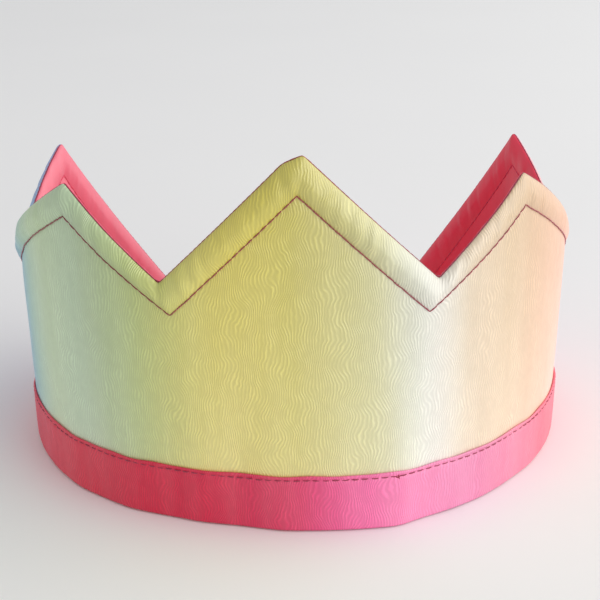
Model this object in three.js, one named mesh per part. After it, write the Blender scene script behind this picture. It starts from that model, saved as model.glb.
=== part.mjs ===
// A cloth dress-up crown. One stiffened and lined panel with five points bends round the head, a
// folded band binds its lower edge, and an elastic strap in a gathered casing closes it at the back.
//
// Millimetres, +Z up. The crown stands on z = 0 with the centre of its box on the Z axis. The front
// peak faces -Y, so +X is the wearer's left and +Y is the back.
//
// Every piece is a section drawn flat, extruded along the crown and wrapped round the plan. A place
// on the wall has three measures:
//   along   distance round the lower edge from the front, positive towards +X
//   height  distance up the leaning wall from the lower edge
//   depth   distance inwards from the outer cloth's outer face, negative outside it
import * as THREE from "three";

// Plan of the wall's outer face at the lower edge, and the wall's lean.
const HALF_WIDTH = 90;
const HALF_DEPTH = 81;
const LEAN = THREE.MathUtils.degToRad(1.1);

// Upper edge of the panel as it lies flat, as [along, height]. Turned right side out, the front
// peak came out blunt, with a shoulder on its -X side. The corners after it are the same on both
// sides, down to the panel's end.
const FRONT_PEAK = [
  [-4, 115.9],
  [1.9, 118.3],
];
const EDGE_CORNERS = [
  [42, 78.4],
  [75.5, 104.2],
  [133.3, 69.5],
  [171.1, 92.2],
  [221, 23.5],
];
const PANEL_END = EDGE_CORNERS.at(-1)[0];

// Bound lower edge.
const BAND_HEIGHT = 18.6;
const BAND_STITCH_HEIGHT = 17.3;
const BAND_STITCH_MARGIN = 2; // the stitches stop this far from the panel's ends

// Topstitching: its corners on one side, from under the front peak down to the band. It runs about
// 9 mm inside the edge, and closer where it comes into the front notches.
const STITCH_CORNERS = [
  [0, 106.8],
  [38.2, 69.2],
  [75.6, 94],
  [133.3, 60],
  [168.8, 81.2],
  [213.8, 19.2],
];

// Thicknesses, and the gap kept between pieces that touch.
const CLOTH = 0.6;
const FELT = 1.6;
const GAP = 0.3;
const THREAD = 0.5;

// Depth of each layer's outer face, from the outer cloth inwards.
const FELT_DEPTH = CLOTH + GAP;
const LINING_DEPTH = FELT_DEPTH + FELT + GAP;
const PANEL_THICKNESS = LINING_DEPTH + CLOTH;

const PANEL_BASE = CLOTH + GAP; // the panel stands on the band's fold

// Strap at the back.
const STRAP_CLEARANCE = 0.5; // from the panel's end
const CASING_BASE = 0.8;
const CASING_HEIGHT = 19.6;
const CASING_BULGE = 0.6; // the casing stands this far proud of the panel on both sides
const ELASTIC_HEIGHT = 12.5;
const ELASTIC_THICKNESS = 1.2;

// Bar tacks that hold the strap's tails inside the panel's ends.
const TACK_CENTRE = PANEL_END - 4.5;
const TACK_WIDTH = 1.6;
const TACK_BASE = 3;
const TACK_HEIGHT = 12;

// Widest step between two neighbouring sections of a wrapped piece.
const COLUMN_STEP = 8;

// A section's points above half this height are tied to the piece's upper edge.
const SECTION_HEIGHT = 60;

const MATERIALS = {
  outerCloth: clothMaterial(0xd9d8a0, 0.42),
  pinkCloth: clothMaterial(0xc93a66, 0.4),
  felt: clothMaterial(0xe9e6dd, 0.95),
  elastic: clothMaterial(0xf2f0ea, 0.8),
  pinkThread: clothMaterial(0x8c2348, 0.6),
};

function clothMaterial(color, roughness) {
  return new THREE.MeshStandardMaterial({ color, roughness, metalness: 0 });
}

// The plan, from the front round past +X, the back and -X to the front again.
const plan = new THREE.EllipseCurve(0, 0, HALF_WIDTH, HALF_DEPTH, -Math.PI / 2, 1.5 * Math.PI);
plan.arcLengthDivisions = 2000;
const ROUND = plan.getLength();

// The point of the part's frame at a place on the wall.
function place(along, height, depth) {
  const share = THREE.MathUtils.euclideanModulo(along / ROUND, 1);
  const point = plan.getPointAt(share);
  const tangent = plan.getTangentAt(share);
  const out = height * Math.sin(LEAN) - depth;
  return [point.x + tangent.y * out, point.y - tangent.x * out, height * Math.cos(LEAN)];
}

// Height of a line of straight stretches at a distance along the crown.
function heightOn(line, along) {
  const next = Math.max(1, line.findIndex(([a]) => a >= along - 1e-9));
  const [a0, h0] = line[next - 1];
  const [a1, h1] = line[next];
  return THREE.MathUtils.mapLinear(along, a0, a1, h0, h1);
}

// A line from one end of the panel to the other, from its middle and the corners on one side.
function wholeLine(middle, corners) {
  const mirrored = corners.map(([along, height]) => [-along, height]).reverse();
  return [...mirrored, ...middle, ...corners];
}

// Columns from start to end that include the given corners, none further apart than COLUMN_STEP.
function columnsBetween(start, end, corners = []) {
  const stops = [start, ...corners.filter((a) => a > start && a < end), end].sort((a, b) => a - b);
  const columns = [start];
  for (let i = 1; i < stops.length; i++) {
    const steps = Math.ceil((stops[i] - stops[i - 1]) / COLUMN_STEP);
    for (let k = 1; k <= steps; k++) {
      columns.push(THREE.MathUtils.lerp(stops[i - 1], stops[i], k / steps));
    }
  }
  return columns;
}

// A closed section from [depth, height] points.
function sectionOf(points) {
  return new THREE.Shape(points.map(([depth, height]) => new THREE.Vector2(depth, height)));
}

function rectangle(depth, base, thickness, height) {
  return [
    [depth, base],
    [depth + thickness, base],
    [depth + thickness, base + height],
    [depth, base + height],
  ];
}

// Extrudes a section through the columns and wraps it round the plan. The section's lower points
// follow the lower edge, and those above half SECTION_HEIGHT follow the upper edge.
function wrap(section, columns, lower, upper = lower) {
  const steps = columns.length - 1;
  const geometry = new THREE.ExtrudeGeometry(section, { depth: steps, steps, bevelEnabled: false });
  const position = geometry.getAttribute("position");
  for (let i = 0; i < position.count; i++) {
    const along = columns[Math.round(position.getZ(i))];
    const drawn = position.getY(i);
    const height =
      drawn < SECTION_HEIGHT / 2 ? lower(along) + drawn : upper(along) + drawn - SECTION_HEIGHT;
    position.setXYZ(i, ...place(along, height, position.getX(i)));
  }
  geometry.computeVertexNormals();
  return geometry;
}

const crown = new THREE.Group();

function add(name, geometry, material) {
  const mesh = new THREE.Mesh(geometry, material);
  mesh.name = name;
  crown.add(mesh);
}

// The panel's upper edge from one end to the other, and the stitch line that follows it.
const outline = wholeLine(FRONT_PEAK, EDGE_CORNERS);
const pointStitchLine = wholeLine([STITCH_CORNERS[0]], STITCH_CORNERS.slice(1));
const outlineAlongs = outline.map(([along]) => along);
const pointStitchAlongs = pointStitchLine.map(([along]) => along);

const zero = () => 0;
const panelTop = (along) => heightOn(outline, along);
const pointStitchHeight = (along) => heightOn(pointStitchLine, along);
const panelColumns = columnsBetween(-PANEL_END, PANEL_END, [...outlineAlongs, ...pointStitchAlongs]);

// Outer cloth and lining: each turns over the felt's top and meets the other at the edge seam.
function addCloths() {
  const seamDepth = PANEL_THICKNESS / 2;
  const clothSection = (faceDepth, backDepth, lipDepth) =>
    sectionOf([
      [faceDepth, PANEL_BASE],
      [backDepth, PANEL_BASE],
      [backDepth, SECTION_HEIGHT - CLOTH],
      [lipDepth, SECTION_HEIGHT - CLOTH],
      [lipDepth, SECTION_HEIGHT],
      [faceDepth, SECTION_HEIGHT],
    ]);
  const outer = clothSection(0, CLOTH, seamDepth - GAP / 2);
  const lining = clothSection(PANEL_THICKNESS, LINING_DEPTH, seamDepth + GAP / 2);
  add("outer_panel", wrap(outer, panelColumns, zero, panelTop), MATERIALS.outerCloth);
  add("lining_panel", wrap(lining, panelColumns, zero, panelTop), MATERIALS.pinkCloth);
}

// Felt between the two cloths, cut short of the edge seam.
function addStiffener() {
  const end = PANEL_END - FELT_DEPTH;
  const columns = columnsBetween(-end, end, panelColumns);
  const section = sectionOf([
    [FELT_DEPTH, PANEL_BASE],
    [FELT_DEPTH + FELT, PANEL_BASE],
    [FELT_DEPTH + FELT, SECTION_HEIGHT - CLOTH - GAP],
    [FELT_DEPTH, SECTION_HEIGHT - CLOTH - GAP],
  ]);
  add("stiffener", wrap(section, columns, zero, panelTop), MATERIALS.felt);
}

// One strip folded under the lower edge, with a leg outside and a leg inside.
function addBand() {
  const outside = -GAP - CLOTH;
  const inside = PANEL_THICKNESS + GAP + CLOTH;
  const section = sectionOf([
    [outside, 0],
    [inside, 0],
    [inside, BAND_HEIGHT],
    [inside - CLOTH, BAND_HEIGHT],
    [inside - CLOTH, CLOTH],
    [outside + CLOTH, CLOTH],
    [outside + CLOTH, BAND_HEIGHT],
    [outside, BAND_HEIGHT],
  ]);
  add("bottom_band", wrap(section, panelColumns, zero), MATERIALS.pinkCloth);
}

// Threads lie on the faces that they are sewn to. Each seam shows one outside and one inside.
function addThreads() {
  const bandFace = GAP + CLOTH;
  const faces = [
    { side: "outer", pointDepth: -GAP - THREAD, bandDepth: -bandFace - GAP - THREAD },
    { side: "inner", pointDepth: PANEL_THICKNESS + GAP, bandDepth: PANEL_THICKNESS + bandFace + GAP },
  ];
  const stitchEnd = PANEL_END - BAND_STITCH_MARGIN;
  const bandColumns = columnsBetween(-stitchEnd, stitchEnd);
  const pointColumns = panelColumns.filter(
    (along) => along >= pointStitchAlongs[0] && along <= pointStitchAlongs.at(-1),
  );
  const bandLine = () => BAND_STITCH_HEIGHT;
  for (const { side, pointDepth, bandDepth } of faces) {
    const pointThread = sectionOf(rectangle(pointDepth, -THREAD / 2, THREAD, THREAD));
    const bandThread = sectionOf(rectangle(bandDepth, -THREAD / 2, THREAD, THREAD));
    const tack = sectionOf(rectangle(bandDepth, TACK_BASE, THREAD, TACK_HEIGHT));
    const pointGeometry = wrap(pointThread, pointColumns, pointStitchHeight);
    add(`point_topstitch_${side}`, pointGeometry, MATERIALS.pinkThread);
    add(`band_stitch_${side}`, wrap(bandThread, bandColumns, bandLine), MATERIALS.pinkThread);
    for (const [wearerSide, sign] of [["left", 1], ["right", -1]]) {
      const centre = sign * TACK_CENTRE;
      const columns = [centre - TACK_WIDTH / 2, centre + TACK_WIDTH / 2];
      add(`strap_tack_${wearerSide}_${side}`, wrap(tack, columns, zero), MATERIALS.pinkThread);
    }
  }
}

// Elastic and the cloth tube round it, from one end of the panel to the other across the back.
function addStrap() {
  const start = PANEL_END + STRAP_CLEARANCE;
  const columns = columnsBetween(start, ROUND - start);
  const tubeThickness = PANEL_THICKNESS + 2 * CASING_BULGE;
  const tube = sectionOf(rectangle(-CASING_BULGE, CASING_BASE, tubeThickness, CASING_HEIGHT));
  const hollow = rectangle(
    CLOTH - CASING_BULGE,
    CASING_BASE + CLOTH,
    tubeThickness - 2 * CLOTH,
    CASING_HEIGHT - 2 * CLOTH,
  );
  tube.holes.push(sectionOf(hollow));
  add("elastic_casing", wrap(tube, columns, zero), MATERIALS.pinkCloth);

  const elasticBase = CASING_BASE + (CASING_HEIGHT - ELASTIC_HEIGHT) / 2;
  const elasticDepth = (PANEL_THICKNESS - ELASTIC_THICKNESS) / 2;
  const elastic = sectionOf(
    rectangle(elasticDepth, elasticBase, ELASTIC_THICKNESS, ELASTIC_HEIGHT),
  );
  add("elastic", wrap(elastic, columns, zero), MATERIALS.elastic);
}

addCloths();
addStiffener();
addBand();
addThreads();
addStrap();

// The front peak leans out further than the strap, so the whole is moved until its box is centred.
const middle = new THREE.Box3().setFromObject(crown).getCenter(new THREE.Vector3());
crown.position.set(-middle.x, -middle.y, 0);

export default crown;
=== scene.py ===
"""A soft dress-up crown in satin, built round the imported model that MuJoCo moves.

The crown is one panel with five points, bent round the head. It is sewn from an outer cloth, a
felt core and a lining, bound with a folded band along its lower edge, topstitched along its points
and closed at the back by an elastic strap in a gathered casing.

Sizes in the classes are millimetres. A place on the crown's wall has three measures:

    along   distance round the lower edge from the front, positive towards +X
    height  distance up the leaning wall from the surface the crown stands on
    proud   distance outwards from the middle of the wall's thickness

Wall.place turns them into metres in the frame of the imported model. Patches and streaks on a cloth
have a scale along it and one up it, each in waves a metre.
"""

import logging
import math
from dataclasses import dataclass, field
from enum import Enum
from typing import Sequence, Union

import bpy
import numpy as np
from mathutils import Matrix, Vector


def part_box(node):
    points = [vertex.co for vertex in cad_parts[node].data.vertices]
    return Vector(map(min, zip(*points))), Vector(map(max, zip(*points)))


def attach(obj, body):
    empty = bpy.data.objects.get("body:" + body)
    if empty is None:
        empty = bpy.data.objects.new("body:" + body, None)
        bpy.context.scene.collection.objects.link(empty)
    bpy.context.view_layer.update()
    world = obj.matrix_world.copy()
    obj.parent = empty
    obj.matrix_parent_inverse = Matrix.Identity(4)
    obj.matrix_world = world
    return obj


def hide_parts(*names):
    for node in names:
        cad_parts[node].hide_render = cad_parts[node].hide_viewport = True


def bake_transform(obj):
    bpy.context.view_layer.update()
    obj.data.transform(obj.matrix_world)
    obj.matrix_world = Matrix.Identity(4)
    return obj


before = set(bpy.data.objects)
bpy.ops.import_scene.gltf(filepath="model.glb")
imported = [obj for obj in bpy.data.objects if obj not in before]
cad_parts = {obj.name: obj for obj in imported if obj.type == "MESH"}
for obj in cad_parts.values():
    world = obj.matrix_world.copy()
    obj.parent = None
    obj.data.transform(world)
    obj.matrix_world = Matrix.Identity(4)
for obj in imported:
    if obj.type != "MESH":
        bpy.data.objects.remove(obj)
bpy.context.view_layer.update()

MM = 0.001
ROUND = 2 * math.pi
Array = np.ndarray
Colour = tuple[float, float, float, float]
ColourStops = Sequence[tuple[float, int]]
Pair = tuple[float, float]
Piece = bpy.types.Object
Finish = bpy.types.Material
Socket = bpy.types.NodeSocket
Value = Union[bpy.types.NodeSocket, float]
log = logging.getLogger("crown")


# ---------------------------------------------------------------------------------------------
# Shape
# ---------------------------------------------------------------------------------------------


class Face(Enum):
    """The two faces of the wall. The value is the direction of proud on that face."""

    OUTER = 1
    INNER = -1


class Hand(Enum):
    """The wearer's two sides. The value is the direction of along on that side."""

    LEFT = 1
    RIGHT = -1


@dataclass(frozen=True)
class Ripple:
    """Smooth seeded unevenness, made of waves that all have about one length."""

    seed: int
    length: float
    slant: float = 0.0
    waves: int = 7
    shortest: float = 0.65
    longest: float = 1.6

    def at(self, along: Array, height: Union[Array, float] = 0.0) -> Array:
        """Reads the unevenness.

        Args:
            along: Distances along the crown.
            height: Heights on the wall.

        Returns:
            Values that stay mostly between -1 and 1.
        """
        rng = np.random.default_rng(self.seed)
        total = np.zeros(np.broadcast(along, height).shape)
        for _ in range(self.waves):
            pitch = self.length * rng.uniform(self.shortest, self.longest)
            turn = rng.normal(0.0, self.slant)
            phase = rng.uniform(0.0, ROUND)
            run = along * math.cos(turn) + height * math.sin(turn)
            total = total + np.sin(ROUND * run / pitch + phase)
        return total / math.sqrt(2 * self.waves)


@dataclass
class Wall:
    """The leaning wall that every piece is wrapped round, with the soft bends it has in use.

    A bend runs from its place along the lower edge up to its place at bend_top, the height of the
    notches. Between two bends the stiffened panel is flatter than the plan's curve. A bulge is a
    distance along, and how far the wall stands outside the plan's curve there: at its foot, at
    bend_top and at tip_height.
    """

    half_width: float = 90.0
    half_depth: float = 81.0
    lean_degrees: float = 1.1
    half_thickness: float = 1.7
    band_outside: float = 0.9
    bends: Sequence[Pair] = (
        (-268.0, -268.0),
        (-221.0, -215.0),
        (-172.0, -171.0),
        (-126.0, -133.0),
        (-82.0, -77.0),
        (-55.0, -60.0),
        (-33.5, -38.0),
        (29.5, 38.0),
        (59.5, 66.0),
        (90.0, 84.0),
        (126.0, 133.0),
        (172.0, 171.0),
        (221.0, 215.0),
        (268.0, 268.0),
    )
    bend_top: float = 72.0
    bend_softness: float = 2.6
    bend_samples: int = 5
    flatness: float = 0.3
    bulges: Sequence[tuple[float, float, float, float]] = (
        (-150.0, 0.0, 0.0, 0.0),
        (-125.0, 0.0, 0.8, 4.0),
        (-108.0, 0.0, 1.0, 7.0),
        (-90.0, -0.2, 1.0, 2.8),
        (-76.0, -0.4, 0.2, 0.2),
        (-60.0, -0.5, 0.0, 0.0),
        (-39.0, -1.9, -0.3, 0.0),
        (-20.0, -0.9, 0.0, 0.0),
        (-6.0, 1.8, 0.4, 0.0),
        (14.0, 2.9, 0.8, 0.0),
        (29.0, 3.6, 1.2, 0.0),
        (36.0, 2.2, 2.0, 0.0),
        (58.0, 1.1, 1.6, 0.0),
        (76.0, 0.1, 0.6, 0.2),
        (90.0, -0.2, 1.2, 1.5),
        (108.0, 0.2, 2.0, 2.0),
        (125.0, 0.2, 1.8, 1.8),
        (150.0, 0.0, 0.0, 0.0),
    )
    tip_height: float = 118.0
    plan_reach: float = 1.1
    plan_samples: int = 8001
    middle_y: float = field(init=False)
    round: float = field(init=False)

    def __post_init__(self) -> None:
        """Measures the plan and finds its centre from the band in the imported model."""
        reach = self.plan_reach * math.pi
        self._turns = np.linspace(-reach, reach, self.plan_samples)
        pace = np.hypot(
            self.half_width * np.cos(self._turns), self.half_depth * np.sin(self._turns)
        )
        steps = (pace[1:] + pace[:-1]) / 2 * np.diff(self._turns)
        arcs = np.concatenate([[0.0], np.cumsum(steps)])
        self._arcs = arcs - np.interp(0.0, self._turns, arcs)
        self.round = 2 * float(np.interp(math.pi, self._turns, self._arcs))
        low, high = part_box("bottom_band")
        top = high.z / MM
        band_proud = self.band_outside + top * math.tan(math.radians(self.lean_degrees))
        self.middle_y = low.y / MM + self.half_depth + band_proud

    def _flattening(self, along: Array, height: Array) -> Array:
        """Measures how flat the stretches between two bends are.

        Args:
            along: Distances along the crown.
            height: Heights on the wall.

        Returns:
            How far inside the plan's curve the wall lies.
        """
        rise = np.clip(height, 0.0, self.bend_top) / self.bend_top
        inside = np.zeros(along.shape)
        for (foot_a, top_a), (foot_b, top_b) in zip(self.bends, self.bends[1:]):
            start = foot_a + (top_a - foot_a) * rise
            width = foot_b + (top_b - foot_b) * rise - start
            share = (along - start) / width
            sagitta = width**2 / (8 * self.half_width)
            bulge = 4 * share * (1 - share) * sagitta * self.flatness
            inside = np.where((share >= 0) & (share < 1), bulge, inside)
        return inside

    def _bulging(self, along: Array, height: Array) -> Array:
        """Measures the bulges.

        Args:
            along: Distances along the crown.
            height: Heights on the wall.

        Returns:
            How far outside the plan's curve the wall bulges.
        """
        at, *levels = np.array(self.bulges).T
        foot, notch, tip = (np.interp(along, at, level) for level in levels)
        lower = np.clip(height / self.bend_top, 0.0, 1.0)
        upper = np.clip((height - self.bend_top) / (self.tip_height - self.bend_top), 0.0, 1.0)
        return foot + (notch - foot) * lower + (tip - notch) * upper

    def _sway(self, along: Array, height: Array) -> Array:
        """Adds the bulges and the flat stretches, and softens the bends between them.

        Args:
            along: Distances along the crown.
            height: Heights on the wall.

        Returns:
            The wall's distance outwards from the plan's plain curve.
        """
        shifts = np.linspace(-self.bend_softness, self.bend_softness, self.bend_samples)
        places = [along + shift for shift in shifts]
        sways = [self._bulging(at, height) - self._flattening(at, height) for at in places]
        return sum(sways) / len(shifts)

    def place(self, along: Array, height: Array, proud: Array) -> Array:
        """Turns places on the wall into points.

        Args:
            along: Distances along the crown.
            height: Heights on the wall.
            proud: Distances outwards from the middle of the wall's thickness.

        Returns:
            Points in metres, with x, y and z on the last axis.
        """
        along, height, proud = np.broadcast_arrays(along, height, proud)
        turn = np.interp(along, self._arcs, self._turns)
        across, deep = self.half_width * np.sin(turn), -self.half_depth * np.cos(turn)
        run_x, run_y = self.half_width * np.cos(turn), self.half_depth * np.sin(turn)
        pace = np.hypot(run_x, run_y)
        lean = math.radians(self.lean_degrees)
        out = height * math.sin(lean) - self.half_thickness + proud + self._sway(along, height)
        x = across + run_y / pace * out
        y = deep - run_x / pace * out + self.middle_y
        return np.stack([x, y, height * math.cos(lean)], axis=-1) * MM


# ---------------------------------------------------------------------------------------------
# Meshes
# ---------------------------------------------------------------------------------------------


def grid_faces(rows: int, columns: int, round_rows: bool = False) -> list[tuple[int, ...]]:
    """Lists the quads of a grid whose points are stored row by row.

    Args:
        rows: Number of rows.
        columns: Number of columns.
        round_rows: True if the last row joins the first.

    Returns:
        Quads as tuples of point numbers.
    """
    faces = []
    for i in range(rows if round_rows else rows - 1):
        low, high = i * columns, (i + 1) % rows * columns
        for j in range(columns - 1):
            faces.append((low + j, low + j + 1, high + j + 1, high + j))
    return faces


def new_piece(
    name: str, points: Array, faces: list[tuple[int, ...]], flat: Union[Array, None] = None
) -> Piece:
    """Makes a smooth mesh object.

    Args:
        name: The piece's name.
        points: Points in metres, one per row.
        faces: Faces as tuples of point numbers.
        flat: For each point its place on the flat cloth, in metres, kept as the UV map "flat".

    Returns:
        The new object, linked to the scene.
    """
    mesh = bpy.data.meshes.new(name)
    mesh.from_pydata(points.reshape(-1, 3).tolist(), [], faces)
    mesh.polygons.foreach_set("use_smooth", [True] * len(mesh.polygons))
    if flat is not None:
        corners = np.zeros(len(mesh.loops), np.int32)
        mesh.loops.foreach_get("vertex_index", corners)
        layer = mesh.uv_layers.new(name="flat")
        layer.data.foreach_set("uv", flat.reshape(-1, 2)[corners].astype(np.float32).ravel())
    mesh.update()
    piece = bpy.data.objects.new(name, mesh)
    bpy.context.scene.collection.objects.link(piece)
    return piece


def thicken(piece: Piece, thickness: float) -> None:
    """Gives a single layer of cloth its thickness behind its faces, and closes its edges.

    Args:
        piece: The layer, whose mesh is replaced.
        thickness: The cloth's thickness.
    """
    layer = piece.modifiers.new("cloth", "SOLIDIFY")
    layer.thickness = thickness * MM
    layer.offset = -1.0
    layer.use_even_offset = True
    layer.use_quality_normals = True
    graph = bpy.context.evaluated_depsgraph_get()
    solid = bpy.data.meshes.new_from_object(piece.evaluated_get(graph))
    piece.modifiers.clear()
    thin, piece.data = piece.data, solid
    bpy.data.meshes.remove(thin)
    solid.name = piece.name


def swept_piece(
    name: str, wall: Wall, along: Array, height: Array, proud: Array, reach: Array
) -> Piece:
    """Sweeps a closed section along the wall and closes both ends.

    Args:
        name: The piece's name.
        wall: The wall that the piece is wrapped round.
        along: Along of each point, section points down the rows and stations in the columns.
        height: Height of each point.
        proud: Proud of each point.
        reach: Distance round the section of each row, for the flat cloth's second measure.

    Returns:
        The new object, with its faces outwards.
    """
    rows, columns = along.shape
    faces = grid_faces(rows, columns, round_rows=True)
    faces.append(tuple(i * columns for i in range(rows)))
    faces.append(tuple(i * columns + columns - 1 for i in reversed(range(rows))))
    flat = np.stack(np.broadcast_arrays(along, reach[:, None]), axis=-1) * MM
    piece = new_piece(name, wall.place(along, height, proud), faces, flat)
    for cap in piece.data.polygons[-2:]:
        cap.use_smooth = False
    face_outwards(piece)
    return piece


def face_outwards(piece: Piece) -> None:
    """Turns a closed piece inside out if its volume is negative.

    Args:
        piece: The piece.
    """
    mesh = piece.data
    mesh.calc_loop_triangles()
    points = np.array([v.co for v in mesh.vertices])
    corners = np.array([t.vertices for t in mesh.loop_triangles])
    a, b, c = (points[corners[:, i]] for i in range(3))
    if np.einsum("ij,ij->i", a, np.cross(b, c)).sum() < 0:
        mesh.flip_normals()


# ---------------------------------------------------------------------------------------------
# Finishes
# ---------------------------------------------------------------------------------------------


def tint(code: int) -> Colour:
    """Turns a usual six-digit colour code into a shader's colour.

    Args:
        code: The code.

    Returns:
        Linear red, green and blue, and a last 1.
    """
    shares = [(code >> shift & 0xFF) / 255 for shift in (16, 8, 0)]
    linear = (s / 12.92 if s <= 0.04045 else ((s + 0.055) / 1.055) ** 2.4 for s in shares)
    return *linear, 1.0


class Recipe:
    """A material that is put together node by node."""

    drift_scale: Pair = (14.0, 9.0)
    drift_share: float = 0.02

    def __init__(self, name: str) -> None:
        """Starts a material that holds only its shader.

        Args:
            name: The material's name.
        """
        self.material = bpy.data.materials.new(name)
        self.material.use_nodes = True
        self.tree = self.material.node_tree
        self.shader = self.tree.nodes["Principled BSDF"]

    def _fill(self, node: bpy.types.Node, inputs: dict[str, object]) -> None:
        """Links or sets some inputs of a node.

        Args:
            node: The node.
            inputs: Sockets or values by the input's name, in lower case with underscores.
        """
        for name, value in inputs.items():
            socket = next(s for s in node.inputs if s.name.lower().replace(" ", "_") == name)
            if isinstance(value, Socket):
                self.tree.links.new(value, socket)
            else:
                socket.default_value = value

    def add(self, kind: str, **inputs: object) -> bpy.types.Node:
        """Adds a node.

        Args:
            kind: The node's type without its prefix, such as TexNoise.
            **inputs: Values or sockets for its inputs, named in lower case with underscores.

        Returns:
            The new node.
        """
        node = self.tree.nodes.new("ShaderNode" + kind)
        self._fill(node, inputs)
        return node

    def finish(self, **inputs: object) -> Finish:
        """Sets inputs of the shader.

        Args:
            **inputs: Values or sockets, named in lower case with underscores.

        Returns:
            The finished material.
        """
        self._fill(self.shader, inputs)
        return self.material

    def maths(self, operation: str, *terms: Value) -> Socket:
        """Adds a Math node.

        Args:
            operation: Its operation.
            *terms: Its terms.

        Returns:
            Its result.
        """
        node = self.tree.nodes.new("ShaderNodeMath")
        node.operation = operation
        for socket, term in zip(node.inputs, terms):
            if isinstance(term, Socket):
                self.tree.links.new(term, socket)
            else:
                socket.default_value = term
        return node.outputs[0]

    def spread(self, value: Value, low: float, high: float) -> Socket:
        """Maps a value from 0..1 onto low..high."""
        return self.maths("MULTIPLY_ADD", value, high - low, low)

    def wave(self, measure: Socket, pitch: float) -> Socket:
        """A sine wave along a measure in metres, from its pitch in millimetres."""
        return self.maths("SINE", self.maths("MULTIPLY", measure, ROUND / (pitch * MM)))

    def noise(self, place: Socket, scale: float, detail: float) -> Socket:
        """Smooth noise in space, about 0.5 on average."""
        return self.add("TexNoise", vector=place, scale=scale, detail=detail).outputs[0]

    def patches(self, place: Socket, scale: Pair, detail: float) -> Socket:
        """Smooth noise on the flat cloth, with one scale along it and one up it."""
        stretched = self.add("Mapping", vector=place, scale=(*scale, 1.0))
        return self.noise(stretched.outputs[0], 1.0, detail)

    def shaded(
        self, colour: Union[Socket, Colour], value: Value, saturation: Value = 1.0
    ) -> Socket:
        """Multiplies a colour's value and its saturation."""
        shade = self.add("HueSaturation", color=colour, value=value, saturation=saturation)
        return shade.outputs[0]

    def bump(self, height: Socket, depth: float, **under: Socket) -> Socket:
        """Adds relief.

        Args:
            height: The relief's height, from 0 to 1.
            depth: Its depth in millimetres.
            **under: The relief that it lies on, as normal.

        Returns:
            The new normal.
        """
        node = self.add("Bump", height=height, distance=depth * MM, strength=1.0, **under)
        return node.outputs[0]

    def cloth_place(self) -> tuple[Socket, Socket, Socket]:
        """Reads the place on the flat cloth.

        Returns:
            The place as a vector, and its measures along and up, in metres.
        """
        chart = self.add("UVMap")
        chart.uv_map = "flat"
        parts = self.add("SeparateXYZ", vector=chart.outputs[0])
        return chart.outputs[0], parts.outputs[0], parts.outputs[1]

    def space_place(self) -> Socket:
        """The place in the piece's own space, in metres."""
        return self.add("TexCoord").outputs["Object"]

    def ramp_colour(self, colour_stops: ColourStops, place: Socket, along: Socket) -> Socket:
        """Adds a colour that runs from stop to stop along the crown, and wanders a little.

        Args:
            colour_stops: (along, colour code) of each colour, the first and the last at the panel's
                ends.
            place: The place on the flat cloth.
            along: Its first measure, in metres.

        Returns:
            The colour at the place.
        """
        start, span = colour_stops[0][0], colour_stops[-1][0] - colour_stops[0][0]
        share = self.maths("MULTIPLY_ADD", along, 1 / (span * MM), -start / span)
        drift = self.maths("SUBTRACT", self.patches(place, self.drift_scale, detail=2.0), 0.5)
        ramp = self.add("ValToRGB", fac=self.maths("MULTIPLY_ADD", drift, self.drift_share, share))
        ramp.color_ramp.interpolation = "CARDINAL"
        stops = ramp.color_ramp.elements
        stops[0].color, stops[1].color = tint(colour_stops[0][1]), tint(colour_stops[-1][1])
        for at, code in colour_stops[1:-1]:
            stops.new((at - start) / span).color = tint(code)
        return ramp.outputs[0]


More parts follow.
